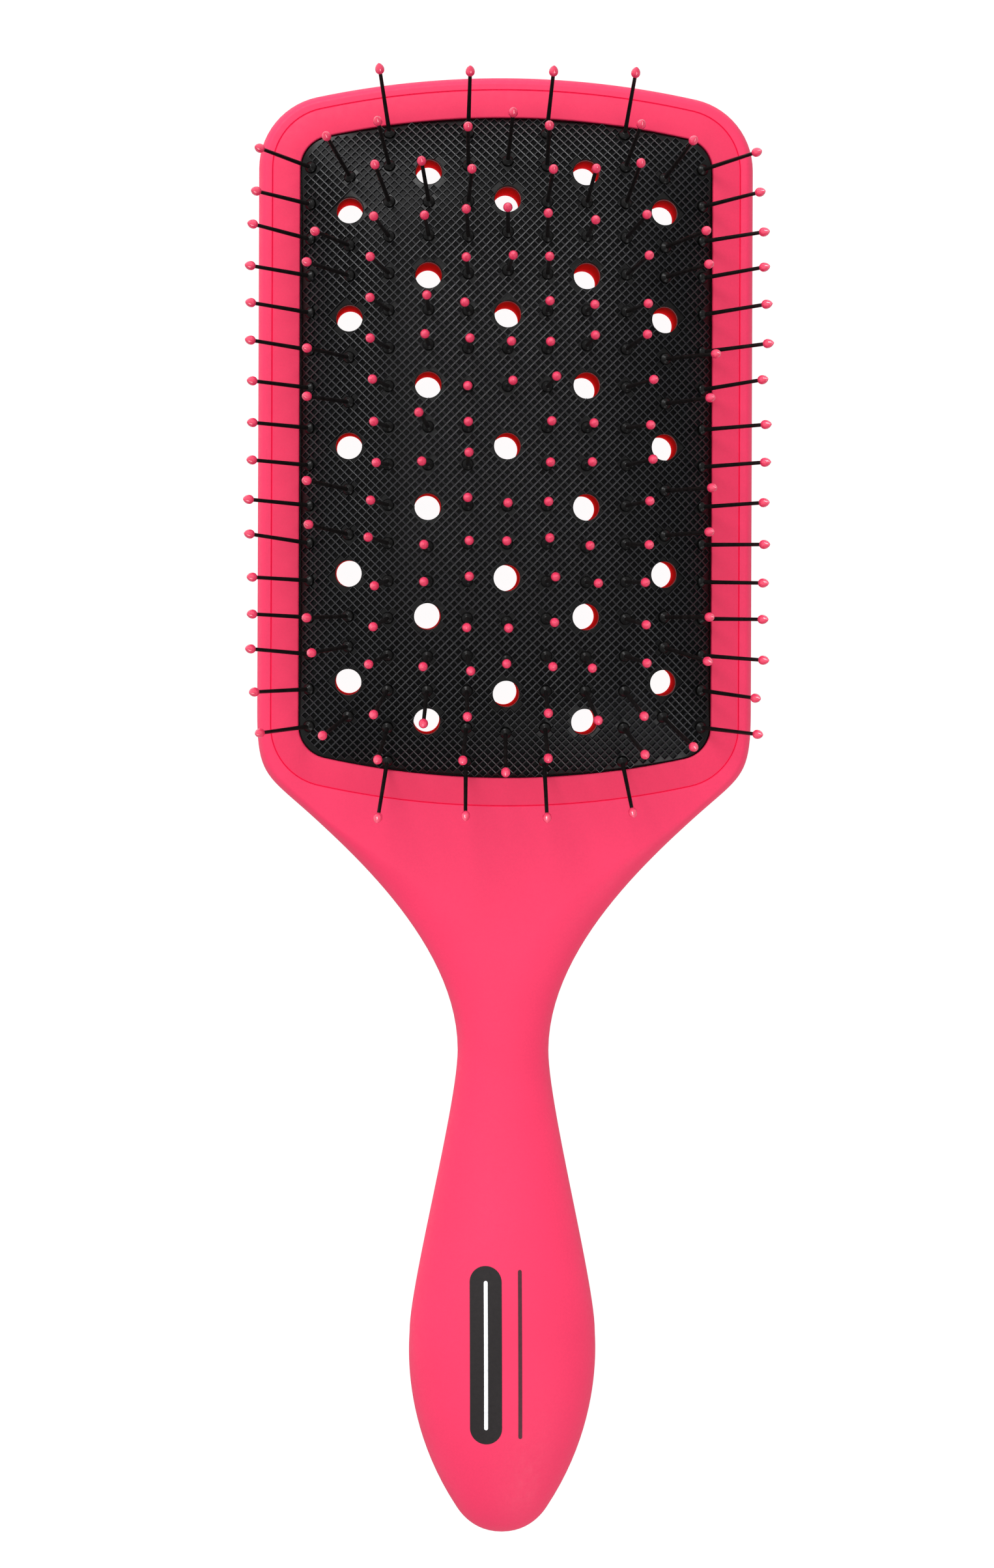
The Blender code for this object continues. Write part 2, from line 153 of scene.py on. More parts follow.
# Print on the handle: a pill, and plain lines where there were words
BADGE_LOW, BADGE_HIGH = box_mm("grip_badge")
BADGE_X, BADGE_HALF_WIDTH = (BADGE_LOW.x + BADGE_HIGH.x) / 2, (BADGE_HIGH.x - BADGE_LOW.x) / 2
BADGE_FAR_Y, BADGE_NEAR_Y, BADGE_BACK_Z = BADGE_LOW.y, BADGE_HIGH.y, BADGE_LOW.z
PRINT_PROUD = 0.04            # how far the print stands out of the handle
PRINT_TURN = math.radians(0.35)
PILL_LINE, LINE_HALF_WIDTH = 27.0, 0.35      # length of the pill's line, and half its width
SIDE_LINE_X, SIDE_LINE_NEAR_Y, SIDE_LINE_FAR_Y = 3.0, -83.9, -114.5


# ---- shapes ------------------------------------------------------------------------------------

def add_object(name, points, faces, finish=None):
    mesh = bpy.data.meshes.new(name)
    mesh.from_pydata([Vector(p) * MM for p in points], [], faces)
    work = bmesh.new()
    work.from_mesh(mesh)
    bmesh.ops.recalc_face_normals(work, faces=work.faces)
    work.to_mesh(mesh)
    work.free()
    made = bpy.data.objects.new(name, mesh)
    bpy.context.scene.collection.objects.link(made)
    if finish is not None:
        mesh.materials.append(finish)
    return made


def boolean(target, cutter, operation):
    modifier = target.modifiers.new(cutter.name, "BOOLEAN")
    modifier.operation = operation
    modifier.solver = "EXACT"
    modifier.object = cutter
    modifier.material_mode = "TRANSFER"


def settle(target, angle=30.0):
    """Keeps the mesh that the modifiers make, without the cutters, and shades it smooth."""
    cutters = [m.object for m in target.modifiers if m.type == "BOOLEAN"]
    evaluated = target.evaluated_get(bpy.context.evaluated_depsgraph_get())
    mesh = bpy.data.meshes.new_from_object(evaluated)
    target.modifiers.clear()
    target.data = mesh
    for cutter in cutters:
        bpy.data.objects.remove(cutter, do_unlink=True)
    work = bmesh.new()
    work.from_mesh(mesh)
    bmesh.ops.remove_doubles(work, verts=work.verts, dist=1e-6)
    bmesh.ops.dissolve_degenerate(work, edges=work.edges, dist=1e-6)
    work.to_mesh(mesh)
    work.free()
    shade(target, angle)


def shade(target, angle=30.0):
    target.data.shade_smooth()
    target.data.set_sharp_from_angle(angle=math.radians(angle))


def set_material(target, slot_of):
    """Gives every face the material slot that slot_of names for its index."""
    faces = target.data.polygons
    faces.foreach_set("material_index", [slot_of(i) for i in range(len(faces))])


def loft(rings, closed_ends=True):
    """Points and faces of a skin over rings of equally many points."""
    count = len(rings[0])
    faces = []
    if closed_ends:
        faces = [tuple(range(count)), tuple(range((len(rings) - 1) * count, len(rings) * count))]
    for ring in range(len(rings) - 1):
        for i in range(count):
            j = (i + 1) % count
            low, high = ring * count, (ring + 1) * count
            faces.append((low + i, low + j, high + j, high + i))
    return [p for ring in rings for p in ring], faces


def ring_loft(rings):
    """As loft, but the last ring joins the first, so the skin is a closed hoop."""
    points, faces = loft(list(rings) + [rings[0]], closed_ends=False)
    total = len(rings) * len(rings[0])
    return points[:total], [tuple(i % total for i in face) for face in faces]


def joined(shapes):
    points, faces = [], []
    for more_points, more_faces in shapes:
        start = len(points)
        points.extend(more_points)
        faces.extend(tuple(start + i for i in face) for face in more_faces)
    return points, faces


def smoothstep(value):
    value = min(max(value, 0.0), 1.0)
    return value * value * (3.0 - 2.0 * value)


def bowed_quarter(half_x, half_y, bow_radius, corner, steps):
    """From the middle of the far end round one corner: an arc, then a fillet that meets the side."""
    arc_centre = half_y - bow_radius
    corner_x = half_x - corner
    rise = math.sqrt((bow_radius - corner) ** 2 - corner_x ** 2)
    corner_y = arc_centre + rise
    turn = math.atan2(corner_x, rise)
    arc = [turn * i / steps for i in range(steps)]
    points = [(bow_radius * math.sin(a), arc_centre + bow_radius * math.cos(a)) for a in arc]
    for i in range(steps + 1):
        angle = turn + (math.pi / 2 - turn) * i / steps
        points.append((corner_x + corner * math.sin(angle), corner_y + corner * math.cos(angle)))
    return points


def bowed_rectangle(half_x, half_y, bow_radius, corner, grow=0.0, steps=14, side_steps=40):
    """Closed outline about (0, 0). grow moves it out all round."""
    quarter = bowed_quarter(half_x + grow, half_y + grow, bow_radius + grow, corner + grow, steps)
    side_y = quarter[-1][1]
    side = [(half_x + grow, side_y * (1 - 2 * i / side_steps)) for i in range(1, side_steps)]
    right = quarter + side + [(x, -y) for x, y in reversed(quarter)]
    return right + [(-x, y) for x, y in reversed(right[1:-1])]


def pad_outline(grow=0.0):
    return bowed_rectangle(PAD_HALF_X, PAD_HALF_Y, PAD_BOW_RADIUS, PAD_CORNER, grow)


def seat_outline(grow=0.0):
    return bowed_rectangle(SEAT_HALF_X, SEAT_HALF_Y, SEAT_BOW_RADIUS, SEAT_CORNER, grow)


def raised(outline, height, centre_y=PAD_Y):
    return [(x, y + centre_y, height) for x, y in outline]


def turned(base, axis, profile, sides=ROUND_SIDES, closed_ends=True):
    """Turned solid about a leaning axis. The profile is (distance along the axis, radius)."""
    across = axis.cross(Vector((0.0, 1.0, 0.0))).normalized()
    other = axis.cross(across)
    turns = [math.tau * i / sides for i in range(sides)]
    rings = [[base + axis * along + (across * math.cos(a) + other * math.sin(a)) * radius for a in turns]
             for along, radius in profile]
    return loft(rings, closed_ends)


def mirrored_rows(rows):
    return sorted({sign * row for row in rows for sign in (-1, 1)})


def vent_centres():
    return [(column * COLUMN_PITCH, row)
            for column in range(-4, 5, 2) for row in mirrored_rows(VENT_ROWS[abs(column)])]


UP = Vector((0.0, 0.0, 1.0))


# ---- handle body -------------------------------------------------------------------------------

def body_half_outline():
    half_y = 60.0
    top = bowed_quarter(HEAD_HALF_X, half_y, HEAD_BOW_RADIUS, HEAD_CORNER, 14)
    points = [(x, y + HEAD_TOP_Y - half_y) for x, y in top]
    side_y = points[-1][1]
    side_steps = 20
    points += [(HEAD_HALF_X, side_y + (SHOULDER_Y - side_y) * i / side_steps)
               for i in range(1, side_steps + 1)]
    for handles, steps in zip(HALF_OUTLINE, OUTLINE_STEPS):
        curve = interpolate_bezier(*[Vector((*p, 0.0)) for p in handles], steps + 1)
        points += [(p.x, p.y) for p in curve[1:]]
    points[-1] = (0.0, BODY_LOW.y)
    return points


def section_at(y):
    """(underside, widest level, top) of the body at y."""
    if y <= SECTIONS[0][0]:
        return SECTIONS[0][1:]
    for near, far in zip(SECTIONS, SECTIONS[1:]):
        if y <= far[0]:
            share = smoothstep((y - near[0]) / (far[0] - near[0]))
            return tuple(a + (b - a) * share for a, b in zip(near[1:], far[1:]))
    return SECTIONS[-1][1:]


def inward_reach(outline, index, roll):
    before = Vector(outline[max(index - 1, 0)])
    after = Vector(outline[min(index + 1, len(outline) - 1)])
    if index == 0:
        before = Vector((-after.x, after.y))
    along = (after - before).normalized()
    normal = Vector((along.y, -along.x))
    point = Vector(outline[index])
    spine = Vector((0.0, max(point.y, SECTIONS[0][0])))
    share = smoothstep((SECTIONS[-1][0] - point.y) / ROLL_BLEND_LENGTH)
    return normal * roll * (1 - share) + (spine - point) * HANDLE_ROLL * share


def body_shape():
    outline = body_half_outline()
    rings = []
    for step in range(-ROLL_STEPS, ROLL_STEPS + 1):
        angle = math.pi / 2 * step / ROLL_STEPS
        roll = HEAD_BACK_ROLL if step < 0 else HEAD_FRONT_ROLL
        half = []
        for index, (x, y) in enumerate(outline):
            low, middle, high = section_at(y)
            moved = Vector((x, y)) + inward_reach(outline, index, roll) * (1 - math.cos(angle))
            height = (high - middle) if step > 0 else (middle - low)
            half.append((moved.x, moved.y, middle + height * math.sin(angle)))
        half[0] = (0.0, *half[0][1:])
        half[-1] = (0.0, *half[-1][1:])
        rings.append(half + [(-x, y, z) for x, y, z in reversed(half[1:-1])])
    points, faces = loft(rings, closed_ends=False)
    count = len(rings[0])
    for base in (0, (len(rings) - 1) * count):
        for i in range(count // 2):
            corners = [i, i + 1, (count - i - 1) % count, (count - i) % count]
            faces.append(tuple(dict.fromkeys(base + c for c in corners)))
    return points, faces


def skin_height(x, y):
    """Outer surface of the cushion; x and y from the pad's middle."""
    across = min(abs(x) / (PAD_HALF_X - GAP), 1.0)
    along = min((abs(y) + x * x / (2 * PAD_BOW_RADIUS)) / (PAD_HALF_Y - GAP), 1.0)
    return SKIN_EDGE_Z + DOME_HEIGHT * (1 - across ** DOME_POWER) * (1 - along ** DOME_POWER)


def skin_normal(x, y):
    step = 0.05
    slope_x = (skin_height(x + step, y) - skin_height(x - step, y)) / (2 * step)
    slope_y = (skin_height(x, y + step) - skin_height(x, y - step)) / (2 * step)
    return Vector((-slope_x, -slope_y, 1.0)).normalized()


def tube_top(x, y):
    lowest_skin = skin_height(abs(x) + TUBE_RADIUS, abs(y) + TUBE_RADIUS)
    return lowest_skin - SKIN_THICKNESS - TUBE_DROP


def vent_tube(x, y):
    base = Vector((x, y + PAD_Y, 0.0))
    top = tube_top(x, y)
    profile = ((FLOOR_Z / 2, TUBE_RADIUS), (FLOOR_Z + 0.05, TUBE_RADIUS),
               (top - 0.3, TUBE_RADIUS - 0.08), (top - 0.08, TUBE_RADIUS - 0.2),
               (top, TUBE_RADIUS - 0.38))
    return turned(base, UP, profile)


def vent_bore(x, y):
    """Straight bore with an eased mouth at the back and a smaller one at the tube's end."""
    base = Vector((x, y + PAD_Y, 0.0))
    top = tube_top(x, y)
    profile = ((-1.0, VENT_RADIUS + 1.6), (0.0, VENT_RADIUS + 0.5), (0.14, VENT_RADIUS + 0.24),
               (0.4, VENT_RADIUS + 0.06), (0.8, VENT_RADIUS), (top - 0.25, VENT_RADIUS),
               (top + 0.05, VENT_RADIUS + 0.2), (top + 6.0, VENT_RADIUS + 0.2))
    return turned(base, UP, profile)


def seat_cut():
    """The seat's mouth flares a little, which eases the head's edge along the seam."""
    levels = ((SHELF_Z, 0.0), (FACE_Z - EDGE_ROUND, 0.0), (FACE_Z - 0.3 * EDGE_ROUND, 0.3 * EDGE_ROUND),
              (FACE_Z, EDGE_ROUND), (FACE_Z + 2.0, EDGE_ROUND + 1.2), (FACE_Z + 9.0, EDGE_ROUND + 1.2))
    return loft([raised(seat_outline(grow), z) for z, grow in levels])


def make_handle(pink, seam_shade_pink, tube_red_painted_glow):
    body = add_object("handle_shell", *body_shape(), pink)
    # The seat's walls and the head's eased edge along the seam take the deeper seam pink, painted shade
    # in the seam.
    boolean(body, add_object("seat_cut", *seat_cut(), seam_shade_pink), "DIFFERENCE")
    cavity = [raised(seat_outline(-CAVITY_INSET), z) for z in (FLOOR_Z, SHELF_Z + 1)]
    boolean(body, add_object("cavity_cut", *loft(cavity), pink), "DIFFERENCE")
    tubes = joined(vent_tube(x, y) for x, y in vent_centres())
    # The tube walls take the red moulding with a painted glow.
    boolean(body, add_object("tube_solids", *tubes, tube_red_painted_glow), "UNION")
    bores = joined(vent_bore(x, y) for x, y in vent_centres())
    boolean(body, add_object("bore_cuts", *bores, tube_red_painted_glow), "DIFFERENCE")
    settle(body, 20)
    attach(body, "handle")
    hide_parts("handle_body")
    return body


# ---- front frame -------------------------------------------------------------------------------

def make_frame(pink, seam_shade_pink):
    seat, lip = -SEAM_GAP, FRAME_LIP_ROUND
    levels = [raised(seat_outline(seat), FRAME_BACK_Z),
              raised(seat_outline(seat), FACE_Z - EDGE_ROUND),
              raised(seat_outline(seat - 0.3 * EDGE_ROUND), FACE_Z - 0.3 * EDGE_ROUND),
              raised(seat_outline(seat - EDGE_ROUND), FACE_Z)]
    for i in range(6):
        angle = math.pi / 2 * i / 5
        inset = lip * (1 - math.sin(angle))
        levels.append(raised(pad_outline(inset), FACE_Z - lip * (1 - math.cos(angle))))
    levels.append(raised(pad_outline(), FRAME_BACK_Z))
    ring = add_object("pad_frame", *ring_loft(levels), pink)
    ring.data.materials.append(seam_shade_pink)
    seam_faces = 3 * len(levels[0])      # the outer wall and the eased edge come first
    # The frame's outer wall and eased edge take the deeper seam pink: painted shade in the seam.
    set_material(ring, lambda i: int(i < seam_faces))
    shade(ring, 40)
    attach(ring, "handle")
    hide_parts("front_frame")
    return ring


# ---- cushion -----------------------------------------------------------------------------------

def all_pins():
    return [(column, row) for column in range(-5, 6) for row in mirrored_rows(PIN_ROWS[abs(column)])]


def on_skin(x, y):
    return Vector((x, y + PAD_Y, skin_height(x, y)))


def cushion_skin():
    edge = bowed_rectangle(PAD_HALF_X - GAP, PAD_HALF_Y - GAP, PAD_BOW_RADIUS, PAD_CORNER - GAP)
    flange = seat_outline(-2 * GAP)
    inner_x, inner_y = 1 - SKIN_THICKNESS / PAD_HALF_X, 1 - SKIN_THICKNESS / PAD_HALF_Y
    outside, inside = [], []
    for step in range(1, DOME_RING_COUNT + 1):
        share = math.sin(math.pi / 2 * step / DOME_RING_COUNT)
        ring = [(x * share, y * share) for x, y in edge]
        outside.append([(x, y + PAD_Y, skin_height(x, y)) for x, y in ring])
        inside.append([(x * inner_x, y * inner_y + PAD_Y, skin_height(x, y) - SKIN_THICKNESS)
                       for x, y in ring])
    rim = [raised(edge, FLANGE_FRONT_Z), raised(flange, FLANGE_FRONT_Z), raised(flange, FLANGE_BACK_Z),
           [(x * inner_x, y * inner_y + PAD_Y, FLANGE_BACK_Z) for x, y in edge]]
    return loft(outside + rim + inside[::-1])


def vent_lining(x, y):
    """Smooth rubber lip that stands round a vent, with the wall of the hole inside it."""
    turns = [math.tau * i / ROUND_SIDES for i in range(ROUND_SIDES)]
    profile = ((VENT_RADIUS, -SKIN_THICKNESS - 0.05), (VENT_RADIUS, -0.10), (VENT_RADIUS + 0.04, -0.02),
               (VENT_RADIUS + 0.10, 0.02), (VENT_RADIUS + VENT_LIP, 0.02),
               (VENT_RADIUS + VENT_LIP + 0.1, -0.1), (VENT_RADIUS + 0.3, -SKIN_THICKNESS - 0.05))
    rings = []
    for radius, lift in profile:
        rings.append([])
        for a in turns:
            px, py = x + radius * math.cos(a), y + radius * math.sin(a)
            rings[-1].append(on_skin(px, py) + UP * lift)
    return ring_loft(rings)


def pin_boss(column, row):
    """Round swelling of the rubber that grips a pin."""
    x = column * COLUMN_PITCH
    profile = [(BOSS_HEIGHT * up, BOSS_RADIUS * radius) for up, radius in BOSS_SHAPE]
    return turned(on_skin(x, row), skin_normal(x, row), profile, 20)


def texture_cells(rng):
    """Diamond-shaped pits side by side, left out near the vents, pins and rim."""
    vents = vent_centres()
    pins = [(column * COLUMN_PITCH, row) for column, row in all_pins()]
    vent_clear = VENT_RADIUS + VENT_LIP + CELL_VENT_MARGIN
    pin_clear = BOSS_RADIUS + CELL_PIN_MARGIN
    across = int(PAD_HALF_X / CELL_STEP) + 1
    along = int(PAD_HALF_Y / CELL_STEP) + 1
    made = []
    for i in range(-across, across + 1):
        for j in range(-along, along + 1):
            x, y = i * CELL_STEP, j * CELL_STEP
            if (i + j) % 2 or not inside_pad(x, y, CELL_EDGE_MARGIN):
                continue
            if any((x - a) ** 2 + (y - b) ** 2 < vent_clear ** 2 for a, b in vents):
                continue
            if any((x - a) ** 2 + (y - b) ** 2 < pin_clear ** 2 for a, b in pins):
                continue
            made.append(texture_cell(x, y, 1.0 + rng.uniform(-0.07, 0.07)))
    return made


def inside_pad(x, y, margin):
    half_x, half_y = PAD_HALF_X - margin, PAD_HALF_Y - margin
    y = abs(y) + x * x / (2 * PAD_BOW_RADIUS)
    x = abs(x)
    if x > half_x or y > half_y:
        return False
    corner_x, corner_y = x - (half_x - PAD_CORNER), y - (half_y - PAD_CORNER)
    return min(corner_x, corner_y) < 0 or corner_x ** 2 + corner_y ** 2 < PAD_CORNER ** 2


def texture_cell(x, y, height_share):
    normal = skin_normal(x, y)
    compass = ((1, 0), (0, 1), (-1, 0), (0, -1))
    rings = [[on_skin(x + dx * half, y + dy * half) + normal * lift * height_share for dx, dy in compass]
             for half, lift in CELL_RINGS]
    return loft(rings)


# The pit slot holds the less reflective copy of the rubber on the pit floors: painted shade in the pits.
FRAME_SLOT, SMOOTH_SLOT, PIT_SHADE_SLOT = 0, 1, 2      # the cushion's materials


def make_cushion(rubber, smooth_rubber, pit_rubber_painted_shade, rng):
    skin = add_object("cushion_pad", *cushion_skin(), rubber)
    hole_radius = VENT_RADIUS + 0.2
    holes = joined(turned(Vector((x, y + PAD_Y, 0.0)), UP, ((5.0, hole_radius), (30.0, hole_radius)))
                   for x, y in vent_centres())
    boolean(skin, add_object("vent_holes", *holes, rubber), "DIFFERENCE")
    settle(skin, 50)
    linings = add_object("vent_linings", *joined(vent_lining(x, y) for x, y in vent_centres()))
    shade(linings, 50)
    bosses = add_object("pin_bosses", *joined(pin_boss(column, row) for column, row in all_pins()))
    shade(bosses, 60)
    cells = texture_cells(rng)
    diamonds = add_object("diamond_texture", *joined(cells))
    shade(diamonds, 20)
    faces_per_cell = len(cells[0][1])
    pit_floor = 1             # loft lists the two end faces first
    # The pit floors take the less reflective copy: painted shade in the pits.
    set_material(diamonds, lambda i: PIT_SHADE_SLOT if i % faces_per_cell == pit_floor else FRAME_SLOT)
    skin.data.materials.append(smooth_rubber)
    skin.data.materials.append(pit_rubber_painted_shade)
    for smooth in (skin, linings, bosses):
        set_material(smooth, lambda i: SMOOTH_SLOT)
    merge(skin, [linings, bosses, diamonds])
    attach(skin, "handle")
    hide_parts("cushion")
    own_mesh(skin)
    return skin


def merge(target, others):
    """Moves the meshes of others into target, and removes them."""
    work = bmesh.new()
    work.from_mesh(target.data)
    for other in others:
        work.from_mesh(other.data)
    work.to_mesh(target.data)
    work.free()
    for other in others:
        bpy.data.objects.remove(other, do_unlink=True)


# ---- pins --------------------------------------------------------------------------------------

def pin_slope(column, row):
    """How far a pin leans over for each millimetre it rises, in x and y: as in the CAD."""
    normal = skin_normal(column * COLUMN_PITCH, row)
    sideways = min(max(normal.x / normal.z, -MOST_LEAN), MOST_LEAN)
    endways = normal.y / normal.z * ROW_LEAN.get(abs(row), 1.0)
    share = CORNER_PIN_LEAN if (abs(column), abs(row)) == CORNER_PIN else 1.0
    return sideways * share, endways * share


def leaning_axis(column, row, rng):
    """A pin's axis with a small random lean, because no two pins stand quite alike."""
    slope_x, slope_y = pin_slope(column, row)
    slope_x += rng.gauss(0, LEAN_SPREAD_X)
    slope_y += rng.gauss(LEAN_TO_FAR_END, LEAN_SPREAD_Y)
    return Vector((slope_x, slope_y, 1.0)).normalized()


def pin_shaft(base, axis):
    end = PIN_LENGTH - BEAD_LENGTH
    waist, steps = PIN_ROOT_RADIUS * 0.9, 6
    profile = [(-3.4, PIN_ROOT_RADIUS), (0.3, PIN_ROOT_RADIUS * 1.05), (1.0, waist)]
    profile += [(1.0 + (end - 1.0) * i / steps, waist + (PIN_RADIUS - waist) * i / steps)
                for i in range(1, steps + 1)]
    profile.append((end + 0.55, PIN_RADIUS * 0.8))
    return turned(base, axis, profile, 14)


def pin_head(base, axis):
    """Round head of a pin, behind the cushion."""
    profile = ((-3.9, 0.55), (-3.8, 0.7), (-3.45, 0.72), (-3.3, 0.6))
    return turned(base, axis, profile, 12)


def bead(base, axis):
    """Drop with its widest place near the shaft and a blunt point at the far end."""
    start = PIN_LENGTH - BEAD_LENGTH
    profile = [(start + along * BEAD_LENGTH, BEAD_RADIUS * radius) for along, radius in BEAD_SHAPE]
    return turned(base, axis, profile, 20)


def column_name(column):
    if column == 0:
        return "middle"
    return f"{'left' if column < 0 else 'right'}_{abs(column)}"


def make_pins(column, nylon, pink_drop, rng):
    body = f"pin_row_{column_name(column)}"
    shafts, beads = [], []
    for row in mirrored_rows(PIN_ROWS[abs(column)]):
        base = on_skin(column * COLUMN_PITCH, row)
        axis = leaning_axis(column, row, rng)
        shafts += [pin_shaft(base, axis), pin_head(base, axis)]
        beads.append(bead(base, axis))
    stems = add_object(f"pins_{column_name(column)}_shafts", *joined(shafts), nylon)
    tips = add_object(f"pins_{column_name(column)}_beads", *joined(beads), pink_drop)
    shade(stems, 50)
    shade(tips, 80)
    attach(stems, body)
    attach(tips, body)
    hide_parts(*frame["record"]["behaviour"]["bodies"][body])


# ---- print on the handle -----------------------------------------------------------------------

def print_shape(name, outline, back_z, proud, finish):
    """Thin inlay of that outline, whose front stands just proud of the handle's surface."""
    piece = add_object(name, *loft([raised(outline, z, 0.0) for z in (back_z, BODY_HIGH.z + 5)]), finish)
    points, faces = body_shape()
    surface = add_object(name + "_surface", [(x, y, z + proud) for x, y, z in points], faces, finish)
    boolean(piece, surface, "INTERSECT")
    settle(piece)
    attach(piece, "handle")
    return piece


def rounded_bar(centre_x, near_y, far_y, half_width, steps=20):
    """Outline of a bar with round ends, turned a little about its middle as the print is."""
    middle = Vector((centre_x, (near_y + far_y) / 2))
    straight = abs(near_y - far_y) / 2 - half_width
    turns = [math.pi * i / steps for i in range(steps + 1)]
    end = [Vector((half_width * math.cos(a), straight + half_width * math.sin(a))) for a in turns]
    turn = Matrix.Rotation(PRINT_TURN, 2)
    return [tuple(middle + turn @ p) for p in end + [-p for p in end]]


def make_print(ink, white_ink, dark_ink):
    pill = rounded_bar(BADGE_X, BADGE_NEAR_Y, BADGE_FAR_Y, BADGE_HALF_WIDTH)
    badge = print_shape("handle_pill", pill, BADGE_BACK_Z, PRINT_PROUD, ink)
    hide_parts("grip_badge")
    middle_y = (BADGE_NEAR_Y + BADGE_FAR_Y) / 2
    inner = rounded_bar(BADGE_X, middle_y + PILL_LINE / 2, middle_y - PILL_LINE / 2, LINE_HALF_WIDTH)
    print_shape("pill_line", inner, BADGE_BACK_Z + 1, 2 * PRINT_PROUD, white_ink)
    beside = rounded_bar(SIDE_LINE_X, SIDE_LINE_NEAR_Y, SIDE_LINE_FAR_Y, LINE_HALF_WIDTH)
    print_shape("side_line", beside, BADGE_BACK_Z, PRINT_PROUD, dark_ink)


# ---- materials ---------------------------------------------------------------------------------

class Finish:
    """A procedural material: a Principled shader and short calls for the nodes that feed it."""

    def __init__(self, name, roughness, **constants):
        self.material = bpy.data.materials.new(name)
        self.material.use_nodes = True
        self.tree = self.material.node_tree
        self.shader = self.tree.nodes["Principled BSDF"]
        self.shader.inputs["Roughness"].default_value = roughness
        for socket, value in constants.items():
            self.shader.inputs[socket.replace("_", " ")].default_value = value
        self.place = self.tree.nodes.new("ShaderNodeTexCoord").outputs["Object"]

    def link(self, start, end):
        self.tree.links.new(start, end)

    def noise(self, per_metre, detail=3.0, roughness=0.55):
        node = self.tree.nodes.new("ShaderNodeTexNoise")
        node.inputs["Scale"].default_value = per_metre
        node.inputs["Detail"].default_value = detail
        node.inputs["Roughness"].default_value = roughness
        self.link(self.place, node.inputs["Vector"])
        return node.outputs["Fac"]

    def ramp(self, source, low, high, start=0.3, end=0.7):
        """Maps a value from start..end to low..high."""
        node = self.tree.nodes.new("ShaderNodeMapRange")
        for socket, value in (("From Min", start), ("From Max", end), ("To Min", low), ("To Max", high)):
            node.inputs[socket].default_value = value
        self.link(source, node.inputs["Value"])
        return node.outputs["Result"]

    def blend(self, factor, first, second):
        node = self.tree.nodes.new("ShaderNodeMix")
        node.data_type = "RGBA"
        self.link(factor, node.inputs["Factor"])
        for socket, value in ((node.inputs["A"], first), (node.inputs["B"], second)):
            if isinstance(value, tuple):
                socket.default_value = (*value, 1.0)
            else:
                self.link(value, socket)
        return node.outputs["Result"]

    def colour(self, source):
        self.link(source, self.shader.inputs["Base Color"])

    def roughness(self, source):
        self.link(source, self.shader.inputs["Roughness"])

    def bump(self, source, strength, distance):
        node = self.tree.nodes.new("ShaderNodeBump")
        node.inputs["Strength"].default_value = strength
        node.inputs["Distance"].default_value = distance
        self.link(source, node.inputs["Height"])
        self.link(node.outputs["Normal"], self.shader.inputs["Normal"])


    def mottle(self, per_metre, detail, first, second, roughness=0.55):
        """Base colour that drifts between two colours."""
        share = self.ramp(self.noise(per_metre, detail, roughness), 0, 1)
        self.colour(self.blend(share, first, second))


def tinted(colour, share):
    return tuple(min(c * share, 1.0) for c in colour)


def grey(value):
    return (value, value, value)


# Strength of the painted glow on the vent tubes' walls.
TUBE_PAINTED_GLOW = 0.06


def soft_touch(name, colour, specular=0.28):
    """Soft-touch moulding: matt, with a very fine grain and faint mottling."""
    finish = Finish(name, 0.55, Specular_IOR_Level=specular)
    drift = finish.ramp(finish.noise(45, 2), 0, 1)
    broad = finish.blend(drift, tinted(colour, 0.96), tinted(colour, 1.04))
    grain = finish.ramp(finish.noise(2600, 4, 0.7), 0, 0.3)
    finish.colour(finish.blend(grain, broad, tinted(colour, 0.80)))
    finish.roughness(finish.ramp(finish.noise(900, 3), 0.46, 0.62))
    finish.bump(finish.noise(4200, 4, 0.65), 0.22, 0.00006)
    return finish.material


def red_with_painted_glow(name):
    """The same moulding in the vent tubes, with a faint red emission: a painted glow in place of the
    table's light through their thin walls.
    """
    material = soft_touch(name, (0.84, 0.026, 0.050), specular=0.0)
    shader = material.node_tree.nodes["Principled BSDF"]
    shader.inputs["Emission Color"].default_value = (1.0, 0.045, 0.022, 1.0)
    shader.inputs["Emission Strength"].default_value = TUBE_PAINTED_GLOW
    return material


def rubber(name):
    finish = Finish(name, 0.38, Specular_IOR_Level=0.54)
    finish.mottle(350, 4, (0.0020, 0.0020, 0.0035), (0.0045, 0.0045, 0.0065))
    finish.roughness(finish.ramp(finish.noise(1400, 3), 0.26, 0.40))
    finish.bump(finish.noise(5200, 4, 0.7), 0.3, 0.00006)
    return finish.material


def smooth_rubber(name, specular):
    """The same rubber where it is darker and reflects less: bare skin, lips and bosses; the copy on the
    floors of the pits is painted shade.
    """
    finish = Finish(name, 0.25, Specular_IOR_Level=specular)
    finish.mottle(900, 3, grey(0.001), grey(0.003))
    finish.roughness(finish.ramp(finish.noise(1400, 3), 0.20, 0.34))
    return finish.material


def nylon(name):
    finish = Finish(name, 0.35, Specular_IOR_Level=0.3)
    finish.mottle(700, 2, (0.004, 0.003, 0.003), (0.008, 0.006, 0.006))
    finish.roughness(finish.ramp(finish.noise(2500, 3), 0.25, 0.42))
    return finish.material


def pink_drop(name):
    """Glossy, slightly translucent resin drop."""
    finish = Finish(name, 0.1, Specular_IOR_Level=0.6, Coat_Weight=0.8, Coat_Roughness=0.02, IOR=1.49,
                    Subsurface_Weight=0.25, Subsurface_Scale=0.0005)
    finish.shader.inputs["Subsurface Radius"].default_value = (1.0, 0.25, 0.35)
    finish.mottle(1100, 2, (0.72, 0.030, 0.095), (0.84, 0.055, 0.140))
    finish.roughness(finish.ramp(finish.noise(1800, 2), 0.07, 0.16))
    return finish.material


